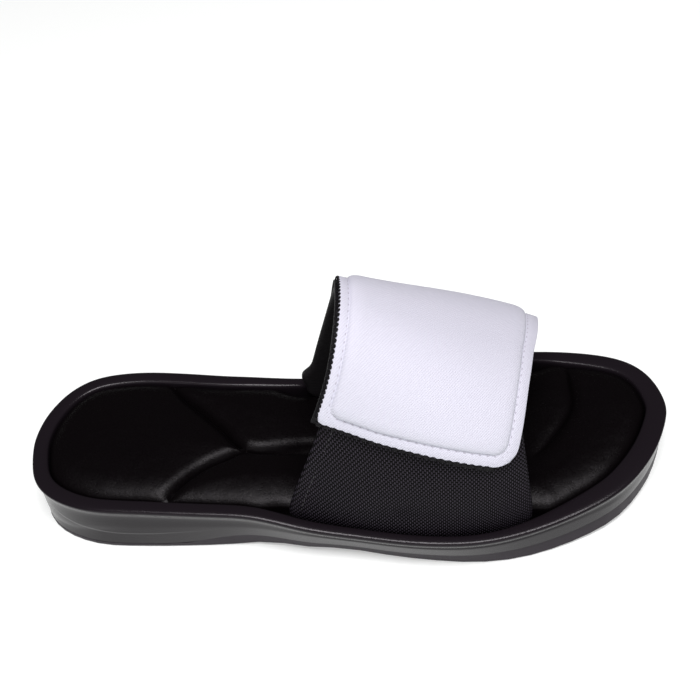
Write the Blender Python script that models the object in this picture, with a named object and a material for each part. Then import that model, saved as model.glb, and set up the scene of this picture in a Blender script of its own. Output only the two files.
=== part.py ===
"""Right sport slide sandal: a moulded sole with a raised rim, a pillowed footbed in its recess,
one woven band over the instep and a padded cover flap held on it by a hook sheet.

Metres. +X runs to the toe, +Y to the medial side, +Z up. The sole stands on z = 0.
"""

import math

import bmesh
import bpy
import numpy as np

# Sole
LENGTH = 0.2752
BALL_WIDTH = 0.1036
HEEL_HEIGHT = 0.0263  # floor to the ridge round the heel
BALL_HEIGHT = 0.0192  # floor to the ridge at the ball
TOE_LIFT = 0.0060  # how much higher than at the ball the ridge runs round the toe
TOE_SPRING = 0.0055  # how far the tip of the underside stands off the floor
ARCH_RISE = 0.0025  # how far the waist stands off the floor
TUCK = 0.0060  # how far the side wall leans in below the ridge, where it leans most
TUCK_BEND = 1.15  # 1 is a straight lean, and more curves the wall's foot in
EDGE_ROUND = 0.0008
OUTSOLE_THICKNESS = 0.0025
OUTSOLE_WAVE = 0.0095  # how high the outsole's edge climbs the side wall
CUP_WALL = 0.0030  # width of the outsole's raised edge
RIB_STEP = 0.0008  # how far the midsole wall stands out over the outsole's edge
RIDGE_DEPTH = 0.0030  # height of the rounded ridge
RIDGE_PROUD = 0.0009  # how far the ridge stands out from the side wall
RIM_WIDTH = 0.0092
RIM_CROWN = 0.0018  # how far the rim's top stands over the ridge
HEEL_CREASE_DEPTH = 0.0005

# Lugs of the underside
LUG_PITCH = 0.0120
LUG_GROOVE_WIDTH = 0.0032
LUG_GROOVE_DEPTH = 0.0012
LUG_WAVE = 0.0030  # how far a groove bends forward and back
LUG_MARGIN = 0.0130  # smooth border that the grooves keep clear of
LUG_SPANS = ((0.075, 0.30), (0.56, 0.93))  # where the grooves lie, under heel and forefoot (shares of LENGTH)

# Where the sole's heights change, as shares of LENGTH from the heel
ARCH_SPAN = (0.30, 0.40, 0.44, 0.54)  # the waist lifts off the floor, and comes back down to it
HEEL_TO_BALL = (0.33, 0.52)  # the ridge comes down
TOE_RAMP = (0.72, 1.00)  # the ridge climbs to the toe
TOE_BEND = (0.74, 1.10)  # the underside leaves the floor, on a curve that would run on past the tip
RIB_SPAN = (0.22, 0.34)  # the midsole's wall comes out over the outsole's edge, and stays out to the toe

# Footbed
BED_DEPTH = 0.0090  # ridge down to the recess floor
BED_LOW = 0.0026  # how far the footbed's edge and channels lie under the ridge
PILLOW_RISE = 0.0042
CHANNEL_CUT = 0.85  # share of the rise that a channel takes away along its middle
CHANNEL_REACH = 0.0061  # how far from its middle a channel is down to a third of its cut
EDGE_FALL = 0.0090  # width over which a pad rounds down to the footbed's edge

# Band over the instep
BAND_THICKNESS = 0.0032
BAND_REAR_HEIGHT = 0.1080  # floor to the band's outer face at the top of its rear edge
BAND_FRONT_HEIGHT = 0.0760
BAND_FULLNESS = 2.4  # exponent of its section: 2 is an ellipse, more is squarer
BAND_EDGE_ROUND = 0.0016
BAND_EDGE_SHARE = 0.35  # thickness at the very edge, as a share of BAND_THICKNESS
SLOT_CLEAR = 0.0040  # how far the slot for a foot runs on past the foot, at each end
SLOT_EASE = 0.0080  # length over which the footbed's edge then comes back out to the rim

# Cover flap and the hook sheet under it
FLAP_THICKNESS = 0.0040
FLAP_MARGIN = 0.0045  # flat stitched border round the padded body
FLAP_MARGIN_THICKNESS = 0.0016
FLAP_SLOPE = 0.0025  # width over which the body rises from its border
FLAP_REAR_MARGIN = 0.0010
FLAP_REAR_SLOPE = 0.0080
FLAP_CORNER = 0.0085
HOOK_THICKNESS = 0.0010
HOOK_PROUD = 0.0010  # how far the hook sheet shows past the flap's rear and lateral edges
HOOK_SET_BACK = 0.0055  # how far it stays behind the flap's other edges

FIT_GAP = 0.0003
SHEET_GAP = 0.0004  # between band, hook sheet and flap
SLOT_GAP = 0.0006  # round the feet of the band, in the slot between rim and footbed

# Outline of the ridge seen from above, once round from the heel by the lateral side.
# Columns: along (share of LENGTH), across (share of BALL_WIDTH, medial plus),
# rim (share of RIM_WIDTH), tuck (share of TUCK).
PLAN = (
    (0.000, 0.090, 0.76, 0.00),
    (0.010, -0.055, 0.78, 0.00),
    (0.042, -0.160, 0.78, 0.00),
    (0.100, -0.236, 0.76, 0.02),
    (0.180, -0.272, 0.74, 0.10),
    (0.270, -0.307, 0.72, 0.38),
    (0.350, -0.338, 0.70, 0.68),
    (0.420, -0.392, 0.62, 0.78),
    (0.500, -0.425, 0.56, 0.85),
    (0.580, -0.475, 0.54, 0.82),
    (0.670, -0.500, 0.54, 0.55),
    (0.750, -0.472, 0.66, 0.16),
    (0.840, -0.402, 0.92, 0.00),
    (0.905, -0.318, 1.02, 0.00),
    (0.957, -0.178, 1.04, 0.00),
    (0.990, -0.022, 1.00, 0.00),
    (1.000, 0.090, 0.98, 0.00),
    (0.988, 0.235, 0.94, 0.00),
    (0.955, 0.340, 0.90, 0.02),
    (0.890, 0.420, 0.84, 0.06),
    (0.800, 0.480, 0.68, 0.20),
    (0.700, 0.496, 0.56, 0.45),
    (0.600, 0.468, 0.54, 0.70),
    (0.500, 0.430, 0.56, 0.80),
    (0.400, 0.408, 0.62, 0.75),
    (0.320, 0.425, 0.70, 0.55),
    (0.240, 0.466, 0.72, 0.30),
    (0.160, 0.497, 0.74, 0.10),
    (0.090, 0.485, 0.76, 0.04),
    (0.045, 0.415, 0.76, 0.00),
    (0.015, 0.300, 0.76, 0.00),
    (0.002, 0.190, 0.76, 0.00),
)

# Edge of the outsole up the side wall.
# Columns: along (share of LENGTH), climb (share of OUTSOLE_WAVE over the outsole's thickness).
OUTSOLE_EDGE = (
    (0.00, 0.00),
    (0.23, 0.00),
    (0.27, 0.45),
    (0.31, 0.88),
    (0.35, 0.90),
    (0.40, 0.62),
    (0.50, 0.72),
    (0.62, 0.80),
    (0.80, 0.80),
    (1.00, 0.88),
)

# Section of the ridge. Columns: inset (share of RIDGE_PROUD), down (share of RIDGE_DEPTH).
RIDGE_SECTION = (
    (1.5, 1.0),
    (0.3, 0.6),
    (0.0, 0.0),
)

# Section of the rim from the ridge inwards. Columns: inset (share of RIM_WIDTH),
# height over the ridge (share of RIM_CROWN).
RIM_SECTION = (
    (0.09, 0.55),
    (0.30, 1.00),
    (0.72, 0.90),
    (0.95, 0.30),
    (1.00, -0.50),
)

# Soft crease round the heel, in the midsole's wall.
# Columns: along (share of LENGTH), height (share of HEEL_HEIGHT), depth (share of its full depth).
HEEL_CREASE = (
    (0.00, 0.24, 0.4),
    (0.05, 0.30, 1.0),
    (0.11, 0.47, 1.0),
    (0.16, 0.52, 0.0),
    (1.00, 0.58, 0.0),
)

# Channels between the footbed's pads, each a run of points.
# Columns: along (share of LENGTH), across (share of BALL_WIDTH, medial plus).
CHANNELS = (
    ((0.215, -0.30), (0.270, -0.13), (0.335, -0.01), (0.270, 0.20), (0.215, 0.46)),
    ((0.335, -0.01), (0.430, -0.03), (0.560, 0.02), (0.620, 0.04)),
    ((0.560, -0.50), (0.600, -0.25), (0.620, 0.04), (0.600, 0.25), (0.560, 0.46)),
    ((0.745, -0.48), (0.790, -0.10), (0.845, 0.04), (0.862, 0.20), (0.860, 0.46)),
)

# Feet and top of the band. Columns: foot or top, rear edge and front edge, along from mid-length
# (share of LENGTH).
BAND = {
    "lateral_foot": (-0.095, 0.262),
    "top": (0.004, 0.240),
    "medial_foot": (-0.062, 0.308),
}
BAND_EDGE_SWEEP = 1.3  # how late the edges swing from foot to top

# Edges of the flap on the band. Columns: turn (share of the band's girth from the lateral foot),
# rear and front (share of the band's width there, from its rear edge).
FLAP_EDGES = (
    (0.16, -0.045, 0.88),
    (0.26, -0.035, 0.950),
    (0.36, -0.020, 1.025),
    (0.46, -0.010, 1.110),
    (0.56, 0.000, 1.172),
    (0.75, 0.035, 1.130),
    (0.95, 0.050, 1.010),
)
FLAP_LATERAL_END = (0.262, 0.202)  # turn at its rear and front corner
FLAP_LATERAL_BOW = 0.010  # how much further up its middle lies
FLAP_MEDIAL_END = (0.938, 0.930)

# Facets
STATIONS = 40  # steps along the sole
BED_STATIONS = 54
BED_COLUMNS = 14
BAND_ROWS = 42
BAND_COLUMNS = 7
BAND_EDGE_COLUMNS = (0.0, 0.35, 1.1)  # where columns lie near an edge, in BAND_EDGE_ROUNDs
FLAP_ROWS = 38
FLAP_COLUMNS = 5
HOOK_ROWS = 42
HOOK_COLUMNS = 8
LUG_STEPS = 6
GIRTH_SAMPLES = 240
NORMAL_STEP = 0.004  # share of girth and width between the places that give a normal
SHARP_ANGLE = 35.0  # degrees

COLOURS = {
    "rubber": ((0.030, 0.028, 0.031), 0.62),
    "foam": ((0.034, 0.031, 0.035), 0.50),
    "bed": ((0.012, 0.011, 0.013), 0.55),
    "weave": ((0.020, 0.018, 0.021), 0.75),
    "hook": ((0.016, 0.015, 0.017), 0.90),
    "cover": ((0.880, 0.880, 0.920), 0.60),
}


def clear_scene():
    for obj in list(bpy.data.objects):
        bpy.data.objects.remove(obj, do_unlink=True)


def material(name):
    colour, roughness = COLOURS[name]
    made = bpy.data.materials.new(name)
    made.use_nodes = True
    shader = made.node_tree.nodes["Principled BSDF"]
    shader.inputs["Base Color"].default_value = (*colour, 1.0)
    shader.inputs["Roughness"].default_value = roughness
    shader.inputs["Metallic"].default_value = 0.0
    return made


def add_object(name, points, faces, finish):
    mesh = bpy.data.meshes.new(name)
    mesh.from_pydata([tuple(point) for point in points], [], faces)
    shaped = bmesh.new()
    shaped.from_mesh(mesh)
    bmesh.ops.triangulate(shaped, faces=shaped.faces)
    bmesh.ops.recalc_face_normals(shaped, faces=shaped.faces)
    shaped.to_mesh(mesh)
    shaped.free()
    mesh.shade_smooth()
    mesh.set_sharp_from_angle(angle=math.radians(SHARP_ANGLE))
    mesh.materials.append(finish)
    obj = bpy.data.objects.new(name, mesh)
    bpy.context.scene.collection.objects.link(obj)
    return obj


def smooth_step(value, start, end):
    share = np.clip((np.asarray(value, float) - start) / (end - start), 0.0, 1.0)
    return share * share * (3.0 - 2.0 * share)


def smooth_column(table, at, index):
    """A table's column read along a smooth curve through its rows."""
    rows = np.array(table)
    place, value = rows[:, 0], rows[:, index]
    slope = np.gradient(value, place)
    at = np.clip(at, place[0], place[-1])
    row = np.clip(np.searchsorted(place, at) - 1, 0, len(place) - 2)
    span = place[row + 1] - place[row]
    t = (at - place[row]) / span
    start = value[row] * (1 + 2 * t) * (1 - t) ** 2 + slope[row] * span * t * (1 - t) ** 2
    end = value[row + 1] * t**2 * (3 - 2 * t) - slope[row + 1] * span * t**2 * (1 - t)
    return start + end


def smooth_loop(rows, steps):
    """Points on a smooth closed curve through the rows, with this many steps from row to row."""
    rows = np.array(rows)
    before = np.roll(rows, 1, axis=0)
    after = np.roll(rows, -1, axis=0)
    beyond = np.roll(rows, -2, axis=0)
    t = np.arange(steps)[:, None, None] / steps
    linear = (after - before) * t
    square = (2 * before - 5 * rows + 4 * after - beyond) * t**2
    cube = (3 * rows - before - 3 * after + beyond) * t**3
    return (0.5 * (2 * rows + linear + square + cube)).transpose(1, 0, 2).reshape(-1, rows.shape[1])


class Plan:
    """The ridge's outline at stations along the sole: the heel's tip, the lateral side to the toe,
    and the medial side back. Stations lie closer together towards both tips."""

    STEPS_PER_ROW = 24

    def __init__(self, stations):
        self.count = stations
        loop = smooth_loop(PLAN, self.STEPS_PER_ROW)
        heel = int(np.argmin(loop[:, 0]))
        loop = np.roll(loop, -heel, axis=0)
        toe = int(np.argmax(loop[:, 0]))
        lateral = loop[: toe + 1]
        medial = np.vstack([loop[toe:], loop[:1]])[::-1]
        reach = loop[toe, 0] - loop[0, 0]
        share = (1.0 - np.cos(np.pi * np.arange(stations + 1) / stations)) / 2.0
        along = loop[0, 0] + reach * share
        sides = []
        for side in (lateral, medial):
            sides.append(np.stack([np.interp(along, side[:, 0], side[:, k]) for k in range(4)], axis=1))
        rows = np.vstack([sides[0], sides[1][-2:0:-1]])
        self.along = (rows[:, 0] - loop[0, 0]) / reach
        self.x = (self.along - 0.5) * LENGTH
        self.y = (rows[:, 1] - (loop[:, 1].max() + loop[:, 1].min()) / 2) * BALL_WIDTH
        self.rim = rows[:, 2] * RIM_WIDTH
        self.tuck = rows[:, 3] * TUCK
        outline = np.stack([self.x, self.y])
        tangent = np.roll(outline, -1, axis=1) - np.roll(outline, 1, axis=1)
        tangent = tangent / np.hypot(*tangent)
        self.inward = np.stack([-tangent[1], tangent[0]])

    def ring(self, inset, height):
        x = self.x + self.inward[0] * inset
        y = self.y + self.inward[1] * inset
        return np.stack([x, y, np.broadcast_to(height, x.shape)], axis=1)

    def side(self, ring, medial):
        """The ring's lateral or medial half, both from the heel to the toe."""
        if medial:
            return np.vstack([ring[:1], ring[: self.count - 1 : -1]])
        return ring[: self.count + 1]

    def cap(self, first):
        """Faces that close a ring whose points start at this index, in strips across the sole."""
        around = 2 * self.count
        faces = [(first, first + 1, first + around - 1)]
        for k in range(1, self.count - 1):
            faces.append((first + k, first + k + 1, first + around - k - 1, first + around - k))
        faces.append((first + self.count - 1, first + self.count, first + self.count + 1))
        return faces


def underside(along):
    lift_start, lift_end, fall_start, fall_end = ARCH_SPAN
    waist = smooth_step(along, lift_start, lift_end) * (1.0 - smooth_step(along, fall_start, fall_end))
    toe = smooth_step(along, *TOE_BEND) / smooth_step(1.0, *TOE_BEND)
    return ARCH_RISE * waist + TOE_SPRING * toe


def ridge_height(along):
    height = HEEL_HEIGHT + (BALL_HEIGHT - HEEL_HEIGHT) * smooth_step(along, *HEEL_TO_BALL)
    return height + TOE_LIFT * smooth_step(along, *TOE_RAMP)


def bed_floor(along):
    return ridge_height(along) - BED_DEPTH


def outsole_edge(along):
    climb = np.maximum(smooth_column(OUTSOLE_EDGE, along, 1), 0.0)
    return underside(along) + OUTSOLE_THICKNESS + climb * (OUTSOLE_WAVE - OUTSOLE_THICKNESS)


def wall_inset(plan, height):
    """How far in from the ridge the side wall lies at this height."""
    low = underside(plan.along)
    rise = np.clip((height - low) / (ridge_height(plan.along) - RIDGE_DEPTH - low), 0.0, 1.0)
    return RIDGE_PROUD + plan.tuck * (1.0 - rise) ** TUCK_BEND


def loft(plan, rings):
    """A closed body through the rings, with both end rings capped."""
    around = 2 * plan.count
    faces = []
    for level in range(len(rings) - 1):
        for k in range(around):
            here = level * around + k
            beside = level * around + (k + 1) % around
            faces.append((here, beside, beside + around, here + around))
    return np.vstack(rings), faces + plan.cap(0) + plan.cap((len(rings) - 1) * around)


def groove_block(centre_along, plan):
    """One curved bar across the sole, as long as the border lets it be, to cut a lug groove."""
    border = plan.ring(plan.tuck + LUG_MARGIN, 0.0)
    x = (centre_along - 0.5) * LENGTH
    ends = []
    for medial in (False, True):
        side = plan.side(border, medial)
        ends.append(np.interp(x, side[:, 0], side[:, 1]))
    points = []
    for k in range(LUG_STEPS + 1):
        y = ends[0] + (ends[1] - ends[0]) * k / LUG_STEPS
        bend = LUG_WAVE * math.cos(2.0 * math.pi * k / LUG_STEPS)
        top = underside(centre_along + bend / LENGTH) + LUG_GROOVE_DEPTH
        for offset in (-LUG_GROOVE_WIDTH / 2, LUG_GROOVE_WIDTH / 2):
            points.append((x + bend + offset, y, -LUG_GROOVE_DEPTH))
            points.append((x + bend + offset, y, float(top)))
    faces = [(0, 1, 3, 2), tuple(4 * LUG_STEPS + k for k in (0, 2, 3, 1))]
    for k in range(LUG_STEPS):
        a = 4 * k
        faces += [(a, a + 2, a + 6, a + 4), (a + 1, a + 5, a + 7, a + 3)]
        faces += [(a, a + 4, a + 5, a + 1), (a + 2, a + 3, a + 7, a + 6)]
    return points, faces


def add_outsole(plan, finish):
    low = underside(plan.along)
    edge = outsole_edge(plan.along)
    rings = [
        plan.ring(RIDGE_PROUD + plan.tuck + EDGE_ROUND, low),
        plan.ring(RIDGE_PROUD + plan.tuck, low + EDGE_ROUND),
        plan.ring(wall_inset(plan, edge) + RIB_STEP * rib(plan.along), edge),
        plan.ring(wall_inset(plan, edge) + CUP_WALL, edge),
        plan.ring(wall_inset(plan, edge) + CUP_WALL + FIT_GAP, low + OUTSOLE_THICKNESS),
    ]
    outsole = add_object("outsole", *loft(plan, rings), finish)
    points, faces = [], []
    pitch = LUG_PITCH / LENGTH
    for start, end in LUG_SPANS:
        for k in range(int((end - start) / pitch) + 1):
            more_points, more_faces = groove_block(start + k * pitch, plan)
            faces += [tuple(index + len(points) for index in face) for face in more_faces]
            points += more_points
    cutter = add_object("lug_grooves", points, faces, finish)
    cutter.hide_render = True
    cutter.display_type = "WIRE"
    cut = outsole.modifiers.new("lugs", "BOOLEAN")
    cut.operation = "DIFFERENCE"
    cut.solver = "EXACT"
    cut.object = cutter
    return outsole


def rib(along):
    """Where the midsole stands out over the outsole's edge: from the waist forward."""
    return smooth_step(along, *RIB_SPAN)


def add_midsole(plan, finish):
    low = underside(plan.along)
    edge = outsole_edge(plan.along) + FIT_GAP
    ridge = ridge_height(plan.along)
    crease = smooth_column(HEEL_CREASE, plan.along, 1) * HEEL_HEIGHT
    crease_depth = np.clip(smooth_column(HEEL_CREASE, plan.along, 2), 0.0, 1.0) * HEEL_CREASE_DEPTH
    crease_rise = 2 * HEEL_CREASE_DEPTH
    crease = np.minimum(np.maximum(crease, edge + 2 * RIB_STEP), ridge - RIDGE_DEPTH - 2 * crease_rise)
    crease_top = crease + crease_rise
    outsole_inset = wall_inset(plan, edge - FIT_GAP)
    rings = [
        plan.ring(outsole_inset + CUP_WALL + 2 * FIT_GAP, low + OUTSOLE_THICKNESS + FIT_GAP),
        plan.ring(outsole_inset + CUP_WALL + FIT_GAP, edge),
        plan.ring(wall_inset(plan, edge), edge),
        plan.ring(wall_inset(plan, crease) + crease_depth, crease),
        plan.ring(wall_inset(plan, crease_top), crease_top),
    ]
    rings += [plan.ring(inset * RIDGE_PROUD, ridge - down * RIDGE_DEPTH) for inset, down in RIDGE_SECTION]
    rings += [plan.ring(inset * plan.rim, ridge + rise * RIM_CROWN) for inset, rise in RIM_SECTION]
    rings.append(plan.ring(plan.rim, bed_floor(plan.along)))
    return add_object("midsole", *loft(plan, rings), finish)


def band_edges(turn):
    """Rear and front edge of the band, along the sole, at a share of its girth."""
    swing = np.sin(np.pi * np.clip(turn, 0.0, 1.0)) ** BAND_EDGE_SWEEP
    lateral = np.asarray(turn) < 0.5
    edges = []
    for k in (0, 1):
        foot = np.where(lateral, BAND["lateral_foot"][k], BAND["medial_foot"][k])
        edges.append((foot + (BAND["top"][k] - foot) * swing) * LENGTH)
    return edges


def band_span(plan, medial):
    """How much of the footbed's edge gives way to the band's foot, 0 to 1, all round the plan."""
    foot = BAND["medial_foot" if medial else "lateral_foot"]
    ease = SLOT_EASE / LENGTH
    start = foot[0] + 0.5 - SLOT_CLEAR / LENGTH
    end = foot[1] + 0.5 + SLOT_CLEAR / LENGTH
    return smooth_step(plan.along, start - ease, start) * (1.0 - smooth_step(plan.along, end, end + ease))


def bed_inset(plan):
    lateral = np.arange(2 * plan.count) <= plan.count
    given = np.where(lateral, band_span(plan, False), band_span(plan, True))
    return plan.rim + FIT_GAP + (BAND_THICKNESS + 2 * SLOT_GAP - FIT_GAP) * given


def distance_to_run(x, y, run):
    """Distance in plan from each point to a run of straight pieces."""
    nearest = np.full(np.shape(x), 1.0)
    for (x0, y0), (x1, y1) in zip(run[:-1], run[1:]):
        length = math.hypot(x1 - x0, y1 - y0)
        share = np.clip(((x - x0) * (x1 - x0) + (y - y0) * (y1 - y0)) / length**2, 0.0, 1.0)
        nearest = np.minimum(nearest, np.hypot(x - x0 - share * (x1 - x0), y - y0 - share * (y1 - y0)))
    return nearest


def pillow(x, y, edge_distance):
    """Share of the full pillow rise: 0 at the footbed's edge and in the channels."""
    share = np.clip(edge_distance / EDGE_FALL, 0.0, 1.0)
    rise = np.sqrt(1.0 - (1.0 - share) ** 2)
    for run in CHANNELS:
        places = [((along - 0.5) * LENGTH, across * BALL_WIDTH) for along, across in run]
        near = distance_to_run(x, y, places) / CHANNEL_REACH
        rise = rise * (1.0 - CHANNEL_CUT * np.exp(-(near**2)))
    return rise


def add_footbed(plan, finish):
    inset = bed_inset(plan)
    edge_height = ridge_height(plan.along) - BED_LOW
    rings = [
        plan.ring(inset, bed_floor(plan.along) + FIT_GAP),
        plan.ring(inset, edge_height),
    ]
    points, faces = loft(plan, rings)
    around = 2 * plan.count
    faces = [face for face in faces if not all(index >= around for index in face)]
    points = list(points)
    edge = rings[1]
    outline = edge[:, :2].tolist() + [edge[0, :2].tolist()]
    rows = [[around] * (BED_COLUMNS + 1)]
    for k in range(1, plan.count):
        lateral, medial = edge[k], edge[around - k]
        row = [around + k]
        for column_index in range(1, BED_COLUMNS):
            share = (1.0 - math.cos(math.pi * column_index / BED_COLUMNS)) / 2.0
            point = lateral + (medial - lateral) * share
            along = point[0] / LENGTH + 0.5
            from_edge = float(distance_to_run(point[0], point[1], outline))
            lift = PILLOW_RISE * float(pillow(point[0], point[1], from_edge))
            row.append(len(points))
            points.append((point[0], point[1], float(ridge_height(along)) - BED_LOW + lift))
        row.append(around + around - k)
        rows.append(row)
    rows.append([around + plan.count] * (BED_COLUMNS + 1))
    for before, after in zip(rows[:-1], rows[1:]):
        for c in range(BED_COLUMNS):
            corners = list(dict.fromkeys((before[c], after[c], after[c + 1], before[c + 1])))
            faces.append(tuple(corners))
    return add_object("footbed", points, faces, finish)


class Arch:
    """The band's middle surface: out of the slot beside the footbed, over the instep and down."""

    def __init__(self, plan):
        ring = plan.ring(plan.rim + SLOT_GAP + BAND_THICKNESS / 2, 0.0)
        self.lateral = plan.side(ring, False)
        self.medial = plan.side(ring, True)
        self.angle = np.pi * np.arange(GIRTH_SAMPLES + 1) / GIRTH_SAMPLES
        middle = self.grid(np.linspace(0.0, 1.0, BAND_ROWS + 1), [0.5])[:, 0]
        self.girth = float(np.linalg.norm(np.diff(middle, axis=0), axis=1).sum())

    def foot(self, x, medial):
        side = self.medial if medial else self.lateral
        return np.interp(x, side[:, 0], side[:, 1])

    def point(self, turn, across):
        """Where a share of the girth and a share of the width meet."""
        rear, front = band_edges(turn)
        x = rear + (front - rear) * across
        foot_lateral, foot_medial = (
            (BAND[name][0] + (BAND[name][1] - BAND[name][0]) * across) * LENGTH
            for name in ("lateral_foot", "medial_foot")
        )
        y_lateral = float(self.foot(foot_lateral, False))
        y_medial = float(self.foot(foot_medial, True))
        low_lateral = float(ridge_height(foot_lateral / LENGTH + 0.5))
        low_medial = float(ridge_height(foot_medial / LENGTH + 0.5))
        top = BAND_REAR_HEIGHT + (BAND_FRONT_HEIGHT - BAND_REAR_HEIGHT) * across - BAND_THICKNESS / 2
        power = 2.0 / BAND_FULLNESS
        cosine, sine = np.cos(self.angle), np.abs(np.sin(self.angle))
        low = np.where(cosine > 0, low_lateral, low_medial)
        middle, half_span = (y_lateral + y_medial) / 2, (y_medial - y_lateral) / 2
        y = middle - half_span * np.sign(cosine) * np.abs(cosine) ** power
        z = low + (top - low) * sine**power
        girth = np.concatenate([[0.0], np.cumsum(np.hypot(np.diff(y), np.diff(z)))])
        place = np.clip(turn, 0.0, 1.0) * girth[-1]
        return np.array([x, np.interp(place, girth, y), np.interp(place, girth, z)])

    def grid(self, turns, acrosses):
        return np.array([[self.point(turn, across) for across in acrosses] for turn in turns])

    def normals(self, turns, acrosses):
        """Outward normals, from points a little to each side of every grid point."""
        made = []
        for turn in turns:
            row = []
            above, below = min(turn + NORMAL_STEP, 1.0), max(turn - NORMAL_STEP, 0.0)
            for across in acrosses:
                up = self.point(above, across) - self.point(below, across)
                forward = self.point(turn, across + NORMAL_STEP) - self.point(turn, across - NORMAL_STEP)
                normal = np.cross(forward, up)
                row.append(normal / np.linalg.norm(normal))
            made.append(row)
        return np.array(made)


def sheet_faces(rows, columns):
    """Faces of a closed sheet: its outer grid's points come first, then its inner grid's."""
    size = rows * columns
    faces = []
    for r in range(rows - 1):
        for c in range(columns - 1):
            a = r * columns + c
            quad = (a, a + 1, a + columns + 1, a + columns)
            faces.append(quad)
            faces.append(tuple(size + index for index in reversed(quad)))
    rim = [c for c in range(columns)]
    rim += [r * columns + columns - 1 for r in range(1, rows)]
    rim += [(rows - 1) * columns + c for c in range(columns - 2, -1, -1)]
    rim += [r * columns for r in range(rows - 2, 0, -1)]
    for here, after in zip(rim, rim[1:] + rim[:1]):
        faces.append((after, here, size + here, size + after))
    return faces


def add_sheet(name, outer, inner, finish):
    rows, columns = outer.shape[:2]
    points = np.vstack([outer.reshape(-1, 3), inner.reshape(-1, 3)])
    return add_object(name, points, sheet_faces(rows, columns), finish)


def rounded(distance, radius):
    """Share of full thickness this far from an edge rounded with this radius."""
    share = np.clip(np.asarray(distance) / radius, 0.0, 1.0)
    return np.sqrt(1.0 - (1.0 - share) ** 2)


def add_band(arch, finish):
    width = (BAND["top"][1] - BAND["top"][0]) * LENGTH
    near_edge = np.array(BAND_EDGE_COLUMNS) * BAND_EDGE_ROUND / width
    middle_columns = np.linspace(0.0, 1.0, BAND_COLUMNS + 1)[1:-1]
    acrosses = np.concatenate([near_edge, middle_columns, 1.0 - near_edge[::-1]])
    turns = np.linspace(0.0, 1.0, BAND_ROWS + 1)
    middle = arch.grid(turns, acrosses)
    normals = arch.normals(turns, acrosses)
    normals[0, :, 2] = normals[-1, :, 2] = 0.0
    normals /= np.linalg.norm(normals, axis=2, keepdims=True)
    from_edge = np.minimum(acrosses, 1.0 - acrosses) * width
    fullness = BAND_EDGE_SHARE + (1.0 - BAND_EDGE_SHARE) * rounded(from_edge, BAND_EDGE_ROUND)
    half = BAND_THICKNESS / 2 * fullness
    feet = middle[[0, -1]].copy()
    feet[:, :, 2] = bed_floor(feet[:, :, 0] / LENGTH + 0.5) + SLOT_GAP
    middle = np.concatenate([feet[:1], middle, feet[1:]])
    normals = np.concatenate([normals[:1], normals, normals[-1:]])
    lift = normals * half[None, :, None]
    return add_sheet("strap_band", middle + lift, middle - lift, finish)


def round_corner(end, side):
    """Shares of a corner square, 1 at its outer edges, drawn in to a quarter disc."""
    return end * np.sqrt(1.0 - side**2 / 2), side * np.sqrt(1.0 - end**2 / 2)


class Cover:
    """Places on the flap: share of its length from the lateral end, share of its width."""

    def __init__(self, arch, corner, grow_rear=0.0, grow_front=0.0, grow_lateral=0.0, grow_medial=0.0):
        self.arch = arch
        self.corner = corner
        rear, front = band_edges(0.5)
        self.band_width = float(front - rear)
        self.grow_rear = grow_rear / self.band_width
        self.grow_front = grow_front / self.band_width
        self.lateral = sum(FLAP_LATERAL_END) / 2 - grow_lateral / arch.girth
        self.medial = sum(FLAP_MEDIAL_END) / 2 + grow_medial / arch.girth
        self.length = (self.medial - self.lateral) * arch.girth
        edges = [float(smooth_column(FLAP_EDGES, 0.5, index)) for index in (1, 2)]
        self.width = (edges[1] - edges[0]) * self.band_width

    def place(self, end_share, side_share):
        """(turn, across) of a place on the flap, with its front corners rounded."""
        corner_end = self.corner / self.length
        corner_side = self.corner / self.width
        side = 1.0 - (1.0 - side_share) / corner_side if self.corner else 0.0
        if side > 0.0:
            for mirrored in (False, True):
                share = 1.0 - end_share if mirrored else end_share
                end = 1.0 - share / corner_end
                if end > 0.0:
                    end, side = round_corner(end, side)
                    share = (1.0 - end) * corner_end
                    end_share = 1.0 - share if mirrored else share
                    side_share = 1.0 - (1.0 - side) * corner_side
                    break
        turn = self.lateral + (self.medial - self.lateral) * end_share
        lateral_skew = (FLAP_LATERAL_END[1] - FLAP_LATERAL_END[0]) * (side_share - 0.5)
        medial_skew = (FLAP_MEDIAL_END[1] - FLAP_MEDIAL_END[0]) * (side_share - 0.5)
        lateral_skew += FLAP_LATERAL_BOW * 4 * side_share * (1.0 - side_share)
        turn += lateral_skew * (1.0 - end_share) ** 3 + medial_skew * end_share**3
        rear = smooth_column(FLAP_EDGES, turn, 1) - self.grow_rear
        front = smooth_column(FLAP_EDGES, turn, 2) + self.grow_front
        return turn, float(rear + (front - rear) * side_share)

    def surfaces(self, ends, sides):
        points, normals = [], []
        for end in ends:
            places = [self.place(end, side) for side in sides]
            points.append([self.arch.point(*place) for place in places])
            normals.append([self.arch.normals([turn], [across])[0, 0] for turn, across in places])
        return np.array(points), np.array(normals)


def graded(length, edges, count):
    """Shares of a length: fixed distances from both ends, and even steps between them."""
    near = np.array(edges) / length
    return np.concatenate([near, np.linspace(near[-1], 1.0 - near[-1], count + 1)[1:-1], 1.0 - near[::-1]])


def add_hook_sheet(arch, finish):
    cover = Cover(arch, 0.0, HOOK_PROUD, -HOOK_SET_BACK, HOOK_PROUD, -HOOK_SET_BACK)
    points, normals = cover.surfaces(np.linspace(0.0, 1.0, HOOK_ROWS), np.linspace(0.0, 1.0, HOOK_COLUMNS))
    low = BAND_THICKNESS / 2 + SHEET_GAP
    return add_sheet("hook_sheet", points + normals * (low + HOOK_THICKNESS), points + normals * low, finish)


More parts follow.
